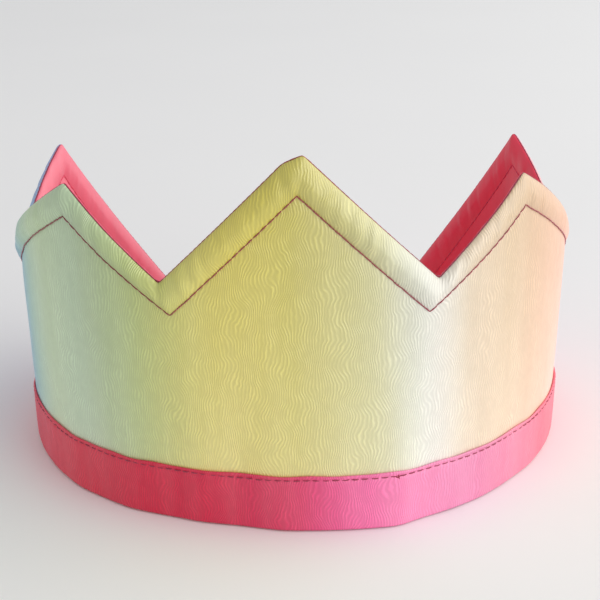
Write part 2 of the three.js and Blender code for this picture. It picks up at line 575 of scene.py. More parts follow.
@dataclass(frozen=True)
class EmbossedSatin:
    """Satin pressed with fine wavy ridges, like a fingerprint. Its colour along the crown is ramped
    as in Recipe.

    The ridges wander broadly and tremble finely, and patches of them are pressed more faintly. They
    are smoother than the valleys, and their crests are painted lighter, a painted highlight, where
    the valleys are painted darker, a painted shade. One field sets how much darker and more
    saturated the colour gets with each millimetre above even_height.
    """

    name: str
    colour_stops: ColourStops
    ridge_pitch: float = 0.86
    ridge_depth: float = 0.1
    ridge_sharpness: float = 1.5
    wander: float = 50.0
    wander_scale: Pair = (98.0, 100.0)
    tremble: float = 9.0
    tremble_scale: Pair = (260.0, 300.0)
    patch_scale: Pair = (420.0, 210.0)
    patch_range: Pair = (0.36, 0.62)
    faintest: float = 0.2
    grain_scale: Pair = (2600.0, 2600.0)
    grain_depth: float = 0.012
    streak_scale: Pair = (110.0, 10.0)
    streak_value: Pair = (0.93, 1.07)
    streak_saturation: Pair = (1.08, 0.92)
    # Value in the valleys and on the crests: the lighter crests are a painted highlight and the
    # darker valleys painted shade.
    ridge_light_and_shade: Pair = (0.91, 1.17)
    ridge_roughness: Pair = (0.5, 0.36)
    sheen: float = 0.05
    sheen_roughness: float = 0.4
    ior: float = 1.65
    upward_darkening: float = 0.0
    even_height: float = 42.0

    def _ridges(self, recipe: Recipe, place: Socket, along: Socket) -> Socket:
        """Draws the pressed ridges.

        Args:
            recipe: The recipe that they are added to.
            place: The place on the flat cloth.
            along: Its first measure, in metres.

        Returns:
            Their height, from 0 to 1.
        """
        broad = recipe.patches(place, self.wander_scale, detail=0.0)
        fine = recipe.patches(place, self.tremble_scale, detail=1.0)
        straight = recipe.maths("MULTIPLY", along, ROUND / (self.ridge_pitch * MM))
        bent = recipe.maths("MULTIPLY_ADD", broad, self.wander, straight)
        wave = recipe.maths("SINE", recipe.maths("MULTIPLY_ADD", fine, self.tremble, bent))
        height = recipe.maths("POWER", recipe.spread(wave, 0.5, 1.0), self.ridge_sharpness)
        patches = recipe.patches(place, self.patch_scale, detail=3.0)
        low, high = self.patch_range
        pressed = recipe.add(
            "MapRange", value=patches, from_min=low, from_max=high, to_min=self.faintest
        )
        return recipe.maths("MULTIPLY", height, pressed.outputs[0])

    def _dyed(self, recipe: Recipe, place: Socket, along: Socket, height: Socket) -> Socket:
        """Colours the cloth, darker towards the points, with the slight streaks of a printed satin.

        Args:
            recipe: The recipe that the dye is added to.
            place: The place on the flat cloth.
            along: Its first measure, in metres.
            height: Its second measure, in metres.

        Returns:
            The cloth's colour.
        """
        streaks = recipe.patches(place, self.streak_scale, detail=3.0)
        value = recipe.spread(streaks, *self.streak_value)
        saturation = recipe.spread(streaks, *self.streak_saturation)
        # Darker and more saturated with each millimetre above even_height.
        above = recipe.maths("SUBTRACT", height, self.even_height * MM)
        rate = self.upward_darkening / MM
        return recipe.shaded(
            recipe.ramp_colour(self.colour_stops, place, along),
            value=recipe.maths("MULTIPLY_ADD", above, -rate, value),
            saturation=recipe.maths("MULTIPLY_ADD", above, rate, saturation),
        )

    def material(self) -> Finish:
        """Builds the material.

        Returns:
            The material.
        """
        recipe = Recipe(self.name)
        place, along, height = recipe.cloth_place()
        ridges = self._ridges(recipe, place, along)
        colour = self._dyed(recipe, place, along, height)
        grain = recipe.bump(recipe.patches(place, self.grain_scale, detail=2.0), self.grain_depth)
        return recipe.finish(
            # The ridges' painted highlight and painted shade.
            base_color=recipe.shaded(colour, recipe.spread(ridges, *self.ridge_light_and_shade)),
            roughness=recipe.spread(ridges, *self.ridge_roughness),
            sheen_weight=self.sheen,
            sheen_roughness=self.sheen_roughness,
            ior=self.ior,
            specular_ior_level=1.0,
            normal=recipe.bump(ridges, self.ridge_depth, normal=grain),
        )


@dataclass(frozen=True)
class PlainSatin:
    """Smooth satin with a fine slanting weave and soft creases. Its colour along the crown is
    ramped as in Recipe.
    """

    name: str
    colour_stops: ColourStops
    weave_pitch: float = 0.34
    weave_slant: float = 2.2
    weave_depth: float = 0.008
    crease_scale: Pair = (60.0, 28.0)
    crease_depth: float = 0.5
    streak_scale: Pair = (300.0, 24.0)
    streak_value: Pair = (0.9, 1.08)
    streak_roughness: Pair = (0.35, 0.5)
    sheen: float = 0.05
    sheen_roughness: float = 0.45
    ior: float = 1.5

    def material(self) -> Finish:
        """Builds the material.

        Returns:
            The material.
        """
        recipe = Recipe(self.name)
        place, along, height = recipe.cloth_place()
        slant = recipe.maths("MULTIPLY_ADD", height, self.weave_slant, along)
        weave = recipe.spread(recipe.wave(slant, self.weave_pitch), 0.5, 1.0)
        folds = recipe.patches(place, self.crease_scale, detail=3.0)
        creases = recipe.bump(folds, self.crease_depth)
        streaks = recipe.patches(place, self.streak_scale, detail=3.0)
        ramp_colour = recipe.ramp_colour(self.colour_stops, place, along)
        return recipe.finish(
            base_color=recipe.shaded(ramp_colour, recipe.spread(streaks, *self.streak_value)),
            roughness=recipe.spread(streaks, *self.streak_roughness),
            sheen_weight=self.sheen,
            sheen_roughness=self.sheen_roughness,
            ior=self.ior,
            specular_ior_level=1.0,
            normal=recipe.bump(weave, self.weave_depth, normal=creases),
        )


@dataclass(frozen=True)
class Fibres:
    """Felt or thread: fine fibres, and a colour that varies over longer stretches of them."""

    name: str
    code: int
    fibre_scale: float
    fibre_detail: float
    fibre_depth: float
    stretch_scale: float
    stretch_detail: float
    stretch_value: Pair
    roughness: Pair
    sheen: float

    def material(self) -> Finish:
        """Builds the material.

        Returns:
            The material.
        """
        recipe = Recipe(self.name)
        place = recipe.space_place()
        fibres = recipe.noise(place, self.fibre_scale, self.fibre_detail)
        stretches = recipe.noise(place, self.stretch_scale, self.stretch_detail)
        value = recipe.spread(stretches, *self.stretch_value)
        return recipe.finish(
            base_color=recipe.shaded(tint(self.code), value),
            roughness=recipe.spread(fibres, *self.roughness),
            sheen_weight=self.sheen,
            normal=recipe.bump(fibres, self.fibre_depth),
        )


@dataclass(frozen=True)
class Felt(Fibres):
    """Pressed felt, with its matted fibres."""

    fibre_scale: float = 1800.0
    fibre_detail: float = 4.0
    fibre_depth: float = 0.12
    stretch_scale: float = 240.0
    stretch_detail: float = 3.0
    stretch_value: Pair = (0.88, 1.06)
    roughness: Pair = (0.85, 1.0)
    sheen: float = 0.3


@dataclass(frozen=True)
class Thread(Fibres):
    """Sewing thread, with its lint, a little lighter and darker along its length."""

    fibre_scale: float = 4200.0
    fibre_detail: float = 3.0
    fibre_depth: float = 0.02
    stretch_scale: float = 260.0
    stretch_detail: float = 2.0
    stretch_value: Pair = (0.75, 1.2)
    roughness: Pair = (0.45, 0.7)
    sheen: float = 0.25


@dataclass(frozen=True)
class ElasticWeb:
    """Woven elastic, braided across its length and down its width."""

    name: str
    code: int
    along_pitch: float = 0.9
    down_pitch: float = 1.3
    braid_depth: float = 0.15
    braid_value: Pair = (0.86, 1.03)
    braid_roughness: Pair = (0.8, 0.65)

    def material(self) -> Finish:
        """Builds the material.

        Returns:
            The material.
        """
        recipe = Recipe(self.name)
        _, along, height = recipe.cloth_place()
        across, down = recipe.wave(along, self.along_pitch), recipe.wave(height, self.down_pitch)
        braid = recipe.spread(recipe.maths("MULTIPLY", across, down), 0.5, 1.0)
        value = recipe.spread(braid, *self.braid_value)
        return recipe.finish(
            base_color=recipe.shaded(tint(self.code), value),
            roughness=recipe.spread(braid, *self.braid_roughness),
            normal=recipe.bump(braid, self.braid_depth),
        )


@dataclass(frozen=True)
class PaleFloor:
    """A plain pale floor of matt paper."""

    name: str
    code: int
    mottle_scale: float = 6.0
    mottle_value: Pair = (0.985, 1.015)
    roughness: float = 0.85
    gloss: float = 0.2

    def material(self) -> Finish:
        """Builds the material.

        Returns:
            The material.
        """
        recipe = Recipe(self.name)
        mottle = recipe.noise(recipe.space_place(), self.mottle_scale, detail=2.0)
        value = recipe.spread(mottle, *self.mottle_value)
        return recipe.finish(
            base_color=recipe.shaded(tint(self.code), value),
            roughness=self.roughness,
            specular_ior_level=self.gloss,
        )


# ---------------------------------------------------------------------------------------------
# Panel
# ---------------------------------------------------------------------------------------------


@dataclass
class Pattern:
    """The panel's flat shape: its upper edge, and the stitch line that follows it.

    Both lines have the same corners in the same order, from one end of the panel to the other, so
    that the rim between them is ruled from stitch to edge. The columns ruled there have their place
    at the edge and at the stitch line, the rim's width, the run along the edge, the steepness of
    the stitch line and its phase, which counts stitches.
    """

    front_edge: Sequence[Pair] = ((-4.0, 115.9), (1.9, 118.3))
    front_stitch: Sequence[Pair] = ((-1.6, 105.2), (0.0, 106.8))
    side_edge: Sequence[Pair] = (
        (42.0, 78.4),
        (75.5, 104.2),
        (133.3, 69.5),
        (171.1, 92.2),
        (219.0, 26.3),
        (221.0, 23.5),
    )
    side_stitch: Sequence[Pair] = (
        (38.2, 69.2),
        (75.6, 94.0),
        (133.3, 60.0),
        (168.8, 81.2),
        (213.8, 19.2),
        (221.0, 19.6),
    )
    base: float = 0.9
    column_step: float = 1.0
    stitch_pitch: float = 2.9

    edge: Array = field(init=False)
    stitch: Array = field(init=False)
    rim: Array = field(init=False)
    run: Array = field(init=False)
    steep: Array = field(init=False)
    phase: Array = field(init=False)

    def __post_init__(self) -> None:
        """Rules the columns between the two lines, and rounds the edge's corners a little."""
        edge, stitch = self.corners(self.front_edge, self.side_edge), self.stitch_corners()
        rows = []
        for k in range(len(edge) - 1):
            edge_side, stitch_side = edge[k + 1] - edge[k], stitch[k + 1] - stitch[k]
            longest = max(np.hypot(*edge_side), np.hypot(*stitch_side))
            steps = math.ceil(longest / self.column_step)
            normal = np.array([-edge_side[1], edge_side[0]]) / np.hypot(*edge_side)
            steep = np.hypot(*stitch_side) / stitch_side[0]
            stitches = self.stitch_count(stitch_side)
            for share in np.arange(steps + (k == len(edge) - 2)) / steps:
                at_edge, at_stitch = edge[k] + edge_side * share, stitch[k] + stitch_side * share
                rim = float((at_edge - at_stitch) @ normal)
                rows.append((*at_edge, *at_stitch, rim, steep, share * stitches))
        table = np.array(rows)
        self.edge, self.stitch = table[:, 0:2], table[:, 2:4]
        self.rim, self.steep, self.phase = table[:, 4], table[:, 5], table[:, 6]
        for line in (self.edge, self.rim):
            line[1:-1] = (line[:-2] + 2 * line[1:-1] + line[2:]) / 4
        gaps = np.hypot(*np.diff(self.edge, axis=0).T)
        self.run = np.concatenate([[0.0], np.cumsum(gaps)])

    def stitch_count(self, side: Array) -> int:
        """The number of stitches on one straight side of the stitch line."""
        return max(1, round(float(np.hypot(*side)) / self.stitch_pitch))

    @staticmethod
    def corners(front: Sequence[Pair], side: Sequence[Pair]) -> Array:
        """The corners from one end to the other, from the front ones and those of one side."""
        mirrored = [(-along, height) for along, height in reversed(side)]
        return np.array([*mirrored, *front, *side])

    def stitch_corners(self) -> Array:
        """The corners of the stitch line, with its two runs under the band."""
        return self.corners(self.front_stitch, self.side_stitch)

    def area(self) -> float:
        """Measures the flat panel.

        Returns:
            Its area in square metres.
        """
        edge = self.corners(self.front_edge, self.side_edge)
        widths, heights = np.diff(edge[:, 0]), (edge[1:, 1] + edge[:-1, 1]) / 2
        return float((widths * (heights - self.base)).sum()) * MM**2


@dataclass
class PanelCloth:
    """One of the two cloths of the panel, from the lower edge up to the seam along the points.

    Between the stitch line and the seam it stands out over the turned seam allowances, and rolls
    over the edge into the crevice of the seam. The lining rolls a little higher than the outer
    cloth, so it shows as a fine line. Fullness lists the share of the puff at some distances along,
    because one side lies flatter.
    """

    name: str
    node: str
    face: Face
    pattern: Pattern
    seed: int
    thickness: float = 0.32
    body_rows: int = 46
    body_crowding: float = 1.6
    body_unevenness: float = 0.1
    body_ripple: float = 26.0
    body_slant: float = 0.7
    calm_width: float = 4.0
    groove: float = 0.32
    groove_width: float = 1.5
    hole_depth: float = 0.35
    puff: float = 1.35
    puff_power: float = 2.3
    puff_shares: Sequence[float] = (1.0, 0.965, 0.9, 0.8, 0.66, 0.5, 0.34, 0.16)
    fullness: Sequence[Pair] = ((40.0, 1.0), (50.0, 0.45), (160.0, 0.5), (200.0, 1.0))
    rim_unevenness: float = 0.2
    rim_ripples: Pair = (7.5, 3.1)
    swell_power: float = 0.7
    roll_width: float = 5.2
    roll_share: float = 0.52
    roll_slant: float = 0.25
    roll_end_degrees: float = 7.0
    roll_steps: int = 13
    over_edge: float = 0.0
    crevice: float = 0.19
    crevice_depth: float = 1.3
    crevice_shares: Pair = (0.35, 1.0)
    end_width: float = 2.5
    end_proud: float = 1.3
    strap_top: float = 20.6

    def _body(self, flat: float) -> tuple[Array, Array, Array]:
        """Lays rows from the lower edge to just under the stitch line, closer together there.

        Args:
            flat: Proud of the flat cloth.

        Returns:
            Along, height and proud of the rows.
        """
        pattern = self.pattern
        rise = np.linspace(0.0, 1.0, self.body_rows, endpoint=False)[:, None]
        share = 1 - (1 - rise) ** self.body_crowding
        along = np.broadcast_to(pattern.stitch[:, 0], (self.body_rows, len(pattern.stitch)))
        height = pattern.base + share * (pattern.stitch[:, 1] - pattern.base)
        below = (pattern.stitch[:, 1] - height) / pattern.steep
        pull = self._pull() * np.exp(-below / self.groove_width)
        ripple = Ripple(self.seed, self.body_ripple, slant=self.body_slant).at(along, height)
        calm = 1 - np.exp(-below / self.calm_width)
        return along, height, flat - pull + ripple * self.body_unevenness * calm

    def _pull(self) -> Array:
        """How deep the stitches pull the cloth in, deeper at each needle hole."""
        return self.groove * (1 + self.hole_depth * np.cos(ROUND * self.pattern.phase))

    def _rim(self, flat: float) -> tuple[Array, Array, Array]:
        """Lays rows from the stitch line over the puffed rim and round the edge into the seam.

        Args:
            flat: Proud of the flat cloth.

        Returns:
            Along, height and proud of the rows.
        """
        pattern = self.pattern
        rim = pattern.rim + self.over_edge
        roll = np.minimum(self.roll_width, self.roll_share * rim)
        puff = self.puff * np.interp(pattern.edge[:, 0], *np.array(self.fullness).T)
        long, short = (
            Ripple(self.seed + 1 + i, length).at(pattern.run)
            for i, length in enumerate(self.rim_ripples)
        )
        pucker = self.rim_unevenness * (long + 0.5 * short)
        rows = []
        for share in self.puff_shares:
            drop = (puff + self._pull()) * share**self.puff_power
            swell = pucker * math.sin(math.pi * (1 - share) / 2) ** self.swell_power
            rows.append((roll + (rim - roll) * share, flat + puff - drop + swell))
        for angle in np.radians(np.linspace(90.0, self.roll_end_degrees, self.roll_steps)):
            inside, upright = 1 - math.cos(angle), math.sin(angle)
            level = upright + (inside - upright) * self.roll_slant
            rows.append((roll * inside, (flat + puff) * level + pucker * upright))
        for share in self.crevice_shares:
            depth = share * self.crevice_depth
            rows.append((np.full(len(rim), depth), np.full(len(rim), self.crevice)))
        inside, proud = (np.stack(measure) for measure in zip(*rows))
        place = pattern.stitch.T[:, None] + (
            (rim - inside) / pattern.rim * (pattern.edge - pattern.stitch).T[:, None]
        )
        return place[0], place[1], proud

    def build(self, wall: Wall) -> Piece:
        """Builds the cloth.

        Args:
            wall: The wall that it is wrapped round.

        Returns:
            The cloth as a closed thin mesh.
        """
        flat = wall.half_thickness
        along, height, proud = (np.vstack(rows) for rows in zip(self._body(flat), self._rim(flat)))
        end = self.pattern.side_edge[-1][0]
        near_end = 1 - np.clip((end - np.abs(along)) / self.end_width, 0.0, 1.0)
        over_strap = np.clip(height - self.strap_top, 0.0, 1.0)
        closed = self.end_proud + (self.crevice - self.end_proud) * over_strap
        proud = proud + (np.minimum(closed, proud) - proud) * near_end**2
        points = wall.place(along, height, self.face.value * proud)
        faces = grid_faces(*along.shape)
        if self.face is Face.INNER:
            faces = [tuple(reversed(quad)) for quad in faces]
        cloth = new_piece(self.name, points, faces, np.stack([along, height], axis=-1) * MM)
        thicken(cloth, self.thickness)
        return cloth

    def dress(self, cloth: Piece, finish: Finish, slot: str) -> None:
        """Gives the cloth its finish, attaches it to the crown's body and hides the imported part
        that it replaces.

        Args:
            cloth: The cloth.
            finish: Its material.
            slot: Not used.
        """
        cloth.data.materials.append(finish)
        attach(cloth, "crown")
        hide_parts(self.node)
        self.pattern.area()


@dataclass
class FeltCore:
    """The felt that stiffens the panel, cut short of the seam and of the strap's tails."""

    pattern: Pattern
    half_thickness: float = 0.8
    short_of_edge: float = 1.6
    end: float = 210.0
    rows: int = 12
    every: int = 3
    upright_power: int = 6
    usual_height: float = 80.0

    def build(self, wall: Wall) -> Piece:
        """Builds the felt as one closed slab.

        Args:
            wall: The wall that it is wrapped round.

        Returns:
            The felt.
        """
        pattern = self.pattern
        kept = np.abs(pattern.edge[:, 0]) < self.end
        edge, stitch, rim = (
            line[kept][:: self.every] for line in (pattern.edge, pattern.stitch, pattern.rim)
        )
        top = edge + (stitch - edge) * (self.short_of_edge / rim)[:, None]
        share = np.linspace(0.0, 1.0, self.rows)[:, None]
        along = stitch[:, 0] + (top - stitch)[:, 0] * share**self.upright_power
        height = pattern.base + share * (top[:, 1] - pattern.base)
        along, height = np.vstack([along, along[::-1]]), np.vstack([height, height[::-1]])
        proud = np.repeat([self.half_thickness, -self.half_thickness], self.rows)[:, None]
        reach = np.concatenate([share[:, 0], 2 - share[::-1, 0]]) * self.usual_height
        return swept_piece(
            "felt_core", wall, along, height, np.broadcast_to(proud, along.shape), reach
        )

    def dress(self, felt: Piece, finish: Finish) -> None:
        """Gives the felt its finish, attaches it to the crown's body and hides the imported
        stiffener.

        Args:
            felt: The felt.
            finish: Its material.
        """
        felt.data.materials.append(finish)
        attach(felt, "crown")
        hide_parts("stiffener")


# ---------------------------------------------------------------------------------------------
# Band
# ---------------------------------------------------------------------------------------------


@dataclass
class HemBand:
    """The strip folded round the lower edge, with its hems turned in and stitched down.

    Its section has one leg outside the wall and one inside. A leg goes up its face, over its top
    and down its back, which lies against the cloth. The knot is where the stitching starts and
    stops, and each of its loops has its two ends measured from there.
    """

    end: float = 221.0
    top: float = 18.6
    outer_proud: float = 2.62
    inner_gap: float = 0.1
    fold_radius: float = 1.1
    fold_steps: int = 6
    floor_thickness: float = 0.5
    floor_rise: float = 0.3
    face_heights: Sequence[float] = (
        *(3.0, 5.0, 7.0, 9.0, 11.0, 13.0, 14.4),
        *(15.4, 16.1, 16.6, 17.0, 17.3, 17.6, 17.9),
    )
    back_heights: Sequence[float] = (17.0, 12.0, 6.0, 1.6)
    top_degrees: Pair = (10.0, 170.0)
    top_steps: int = 7
    face_depth: float = 0.4
    stitch_height: float = 17.3
    stitch_pitch: float = 2.9
    stitch_pull: float = 0.3
    pull_width: float = 0.6
    hole_depth: float = 0.4
    knot: Pair = (28.6, 17.0)
    knot_loops: Sequence[tuple[Pair, Pair]] = (
        ((-1.3, 0.1), (0.9, -0.2)),
        ((-0.5, -0.35), (1.0, 0.4)),
        ((-0.9, 0.3), (0.7, -0.5)),
        ((-0.2, -0.9), (0.4, 0.9)),
        ((0.1, 0.7), (0.5, -1.3)),
    )
    unevenness: float = 0.13
    ripple: Ripple = Ripple(32, 21.0, slant=0.5)
    pucker: float = 0.8
    pucker_ripple: Ripple = Ripple(31, 5.5)
    pucker_width: float = 2.6
    top_waver: float = 0.22
    top_ripple: Ripple = Ripple(33, 17.0)
    cut_width: float = 52.0
    station_step: float = 1.0

    def _leg(self, wall: Wall) -> list[Pair]:
        """Draws one leg of the section.

        Args:
            wall: The wall that the band is folded round.

        Returns:
            (proud, height) from the fold up the leg's face and down its back.
        """
        back = wall.half_thickness + self.inner_gap
        radius = (self.outer_proud - back) / 2
        centre = back + radius, self.top - radius
        over = [
            (centre[0] + radius * math.cos(a), centre[1] + radius * math.sin(a))
            for a in np.radians(np.linspace(*self.top_degrees, self.top_steps))
        ]
        face = [(self.outer_proud, height) for height in self.face_heights]
        return [*face, *over, *((back, height) for height in self.back_heights)]

    def _fold(self) -> list[Pair]:
        """Draws half of the fold's underside.

        Returns:
            (proud, height) from the middle out to the outer leg.
        """
        flat, radius = self.outer_proud - self.fold_radius, self.fold_radius
        turn = [
            (flat + radius * math.sin(a), radius * (1 - math.cos(a)))
            for a in np.radians(np.linspace(0.0, 90.0, self.fold_steps))
        ]
        return [(0.0, 0.0), (flat / 2, 0.0), *turn]

    def _section(self, wall: Wall) -> Array:
        """Draws the whole closed section.

        Args:
            wall: The wall that the band is folded round.

        Returns:
            Rows of (proud, height).
        """
        floor = self.floor_thickness
        inner_fold = [(wall.half_thickness, floor + self.floor_rise), (0.0, floor)]
        half = [*self._fold(), *self._leg(wall), *inner_fold]
        other = [(-proud, height) for proud, height in reversed(half[1:-1])]
        return np.array([*half, *other])

    def build(self, wall: Wall) -> Piece:
        """Builds the band as one closed folded strip.

        Args:
            wall: The wall that it is folded round.

        Returns:
            The band.
        """
        section = self._section(wall)
        count = math.ceil(2 * self.end / self.station_step) + 1
        stations = np.linspace(-self.end, self.end, count)
        along = np.broadcast_to(stations, (len(section), len(stations)))
        proud = np.broadcast_to(section[:, :1], along.shape).copy()
        height = np.broadcast_to(section[:, 1:], along.shape).copy()
        side, level = np.sign(proud), height / self.top
        face = np.abs(proud) > self.outer_proud - self.face_depth
        from_stitch = height - self.stitch_height
        near_stitch = np.exp(-((from_stitch / self.pull_width) ** 2))
        holes = 1 + self.hole_depth * np.cos(ROUND * along / self.stitch_pitch)
        near_line = np.exp(-((from_stitch / self.pucker_width) ** 2))
        pucker = self.pucker_ripple.at(along) * near_line
        swell = self.unevenness * (self.ripple.at(along, height) + self.pucker * pucker)
        proud += side * face * (swell - self.stitch_pull * holes * near_stitch)
        height += self.top_waver * self.top_ripple.at(along) * level**3
        reach = np.concatenate([[0.0], np.cumsum(np.hypot(*np.diff(section, axis=0).T))])
        return swept_piece("hem_band", wall, along, height, proud, reach)

    def dress(self, band: Piece, finish: Finish) -> None:
        """Gives the band its finish, attaches it to the crown's body and hides the imported band.

        Args:
            band: The band.
            finish: Its material.
        """
        band.data.materials.append(finish)
        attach(band, "crown")
        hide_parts("bottom_band")


# ---------------------------------------------------------------------------------------------
# Stitches
# ---------------------------------------------------------------------------------------------


@dataclass
class StitchRow:
    """A row of separate stitches. Each dips into the cloth at both ends and shows its twist.

    Surface is proud of the cloth that the row lies on. A row with no node is an extra one, which
    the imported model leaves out.
    """

    name: str
    node: str
    face: Face
    seed: int
    surface: float
    radius: float = 0.17
    fill: float = 1.04
    lift: float = 0.17
    dip: float = 0.12
    waver: float = 0.09
    rings: int = 9
    sides: int = 8
    twist: float = 1.6
    ply_depth: float = 0.16
    end_thickness: float = 0.55
    middle_swell: float = 0.45
    arc_power: float = 0.55

    def build(self, wall: Wall, starts: Array, ends: Array) -> Piece:
        """Builds the stitches.

        Args:
            wall: The wall that they lie on.
            starts: (along, height) where each stitch leaves the cloth.
            ends: (along, height) where each stitch goes back in.

        Returns:
            All the stitches as one object of closed threads.
        """
        rng = np.random.default_rng(self.seed)
        starts = starts + rng.normal(0.0, self.waver / 2, starts.shape)
        ends = ends + rng.normal(0.0, self.waver / 2, ends.shape)
        middle, half = (starts + ends) / 2, (ends - starts) / 2 * self.fill
        course = half / np.hypot(*half.T)[:, None]
        beside = np.stack([-course[:, 1], course[:, 0]], axis=-1)
        share = np.linspace(-1.0, 1.0, self.rings)
        arc = np.cos(share * math.pi / 2) ** self.arc_power
        rise = self.surface + self.lift - (self.dip + self.lift) * (1 - arc)
        angle = np.linspace(0.0, ROUND, self.sides, endpoint=False)
        turn = angle[None, :] - self.twist * math.pi * share[:, None]
        plies = 1 + self.ply_depth * np.cos(2 * turn)
        thick = self.radius * plies * (self.end_thickness + self.middle_swell * arc[:, None])
        sideways, outwards = thick * np.cos(angle), thick * np.sin(angle)
        line = middle[:, None, :] + half[:, None, :] * share[None, :, None]
        flat = line[:, :, None, :] + beside[:, None, None, :] * sideways[None, :, :, None]
        proud = np.broadcast_to(rise[None, :, None] + outwards[None], flat.shape[:3])
        points = wall.place(flat[..., 0], flat[..., 1], self.face.value * proud)
        stitches = new_piece(self.name, points, self._faces(len(starts)))
        face_outwards(stitches)
        return stitches

    def _faces(self, count: int) -> list[tuple[int, ...]]:
        """Lists the faces of all the threads, closed at both ends.

        Args:
            count: The number of stitches.

        Returns:
            Faces as tuples of point numbers.
        """
        faces = []
        for stitch in range(count):
            first = stitch * self.rings * self.sides
            for ring in range(self.rings - 1):
                low = first + ring * self.sides
                for i in range(self.sides):
                    j = (i + 1) % self.sides
                    faces.append((low + i, low + self.sides + i, low + self.sides + j, low + j))
            last = first + (self.rings - 1) * self.sides
            faces.append(tuple(first + i for i in range(self.sides)))
            faces.append(tuple(last + i for i in reversed(range(self.sides))))
        return faces

    def dress(self, stitches: Piece, finish: Finish) -> None:
        """Gives the stitches their finish, attaches them to the crown's body and hides their
        imported node, if they have one.

        Args:
            stitches: The stitches.
            finish: Their material.
        """
        stitches.data.materials.append(finish)
        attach(stitches, "crown")
        if self.node:
            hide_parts(self.node)


def stitches_on_points(pattern: Pattern) -> tuple[Array, Array]:
    """Places the topstitching, with whole stitches on each straight side of its line.

    Args:
        pattern: The panel's pattern, whose first and last sides have no stitches.

    Returns:
        The starts and the ends of the stitches, as (along, height).
    """
    corners = pattern.stitch_corners()[1:-1]
    corners = np.delete(corners, len(corners) // 2 - 1, axis=0)
    starts, ends = [], []
    for corner, after in zip(corners, corners[1:]):
        count = pattern.stitch_count(after - corner)
        holes = corner + (after - corner) * np.linspace(0.0, 1.0, count + 1)[:, None]
        starts.append(holes[:-1])
        ends.append(holes[1:])
    return np.concatenate(starts), np.concatenate(ends)


def stitches_on_seam(
    pattern: Pattern, pitch: float = 1.9, margin: float = 0.6
) -> tuple[Array, Array]:
    """Places the thread in the seam along the points.

    Args:
        pattern: The panel's pattern.
        pitch: The length of one stitch.
        margin: How far the thread stops from the seam's ends.

    Returns:
        The starts and the ends of the stitches, as (along, height).
    """
    run = np.arange(margin, pattern.run[-1] - margin, pitch)
    holes = np.stack([np.interp(run, pattern.run, measure) for measure in pattern.edge.T], axis=-1)
    return holes[:-1], holes[1:]


def stitches_on_band(
    band: HemBand, margin: float = 2.0, waver: float = 0.12, ripple: Ripple = Ripple(41, 24.0)
) -> tuple[Array, Array]:
    """Places the band's stitching, with the small knot where it starts and stops.

    Args:
        band: The band.
        margin: How far the stitching stops from the band's ends.
        waver: How far the line wavers up and down.
        ripple: The shape of that waver.

    Returns:
        The starts and the ends of the stitches, as (along, height).
    """
    count = math.floor((band.end - margin) / band.stitch_pitch)
    holes = np.arange(-count, count + 1) * band.stitch_pitch
    height = band.stitch_height + waver * ripple.at(holes)
    line = np.stack([holes, height], axis=-1)
    starts, ends = (np.array(band.knot) + np.array(side) for side in zip(*band.knot_loops))
    return np.concatenate([line[:-1], starts]), np.concatenate([line[1:], ends])


def bar_tack(
    hand: Hand,
    centre: float = 216.5,
    base: float = 3.2,
    top: float = 14.8,
    step: float = 0.42,
    half_width: float = 0.8,
) -> tuple[Array, Array]:
    """Places the close zigzag that holds the strap's tail.

    Args:
        hand: The wearer's side that it is on.
        centre: Its distance along the crown.
        base: Its lowest height.
        top: Its highest height.
        step: How far each stitch climbs.
        half_width: Half the width of the zigzag.

    Returns:
        The starts and the ends of its stitches, as (along, height).
    """
    heights = np.arange(base, top, step)
    sides = np.where(np.arange(len(heights)) % 2, half_width, -half_width)
    holes = np.stack([hand.value * centre + sides, heights], axis=-1)
    return holes[:-1], holes[1:]


# ---------------------------------------------------------------------------------------------
# Strap
# ---------------------------------------------------------------------------------------------


@dataclass
class StrapHalf:
    """What both halves of the strap share. Each half runs from its tail in the panel to the back.

    The bow is the length next to the middle of the back.
    """

    hand: Hand
    panel_end: float = 221.0
    tail: float = 9.0
    bow: float = 10.0
    middle_height: float = 10.6
    station_step: float = 0.55

    def length(self, wall: Wall) -> float:
        """The half's length, from its tail's end to the middle of the back."""
        return wall.round / 2 - self.panel_end + self.tail

    def stations(self, wall: Wall) -> Array:
        """Places stations along the half.

        Args:
            wall: The wall that the strap carries on.

        Returns:
            Distances along the crown, from the tail's end to the middle of the back.
        """
        start, end = self.panel_end - self.tail, wall.round / 2
        count = math.ceil((end - start) / self.station_step) + 1
        return self.hand.value * np.linspace(start, end, count)

    def course(self, wall: Wall, along: Array) -> Array:
        """A measure along the strap that runs on from one half into the other."""
        return along + (wall.round if self.hand is Hand.RIGHT else 0.0)

    def outside(self, along: Array, width: float) -> Array:
        """0 inside the panel, rising to 1 over a width after its end."""
        share = np.clip((np.abs(along) - self.panel_end) / width, 0.0, 1.0)
        return share * share * (3 - 2 * share)

    def dress_half(self, wall: Wall, piece: Piece, finish: Finish, node: str, slot: str) -> None:
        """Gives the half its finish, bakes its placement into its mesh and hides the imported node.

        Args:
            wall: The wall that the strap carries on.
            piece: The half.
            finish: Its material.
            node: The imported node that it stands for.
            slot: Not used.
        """
        piece.data.materials.append(finish)
        bend_start, bend_end = self.panel_end + 1.0, wall.round / 2 - self.bow
        start = wall.place(self.hand.value * bend_start, self.middle_height, 0.0)
        end = wall.place(self.hand.value * bend_end, self.middle_height, 0.0)
        start[2] = end[2]
        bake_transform(piece)
        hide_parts(node)


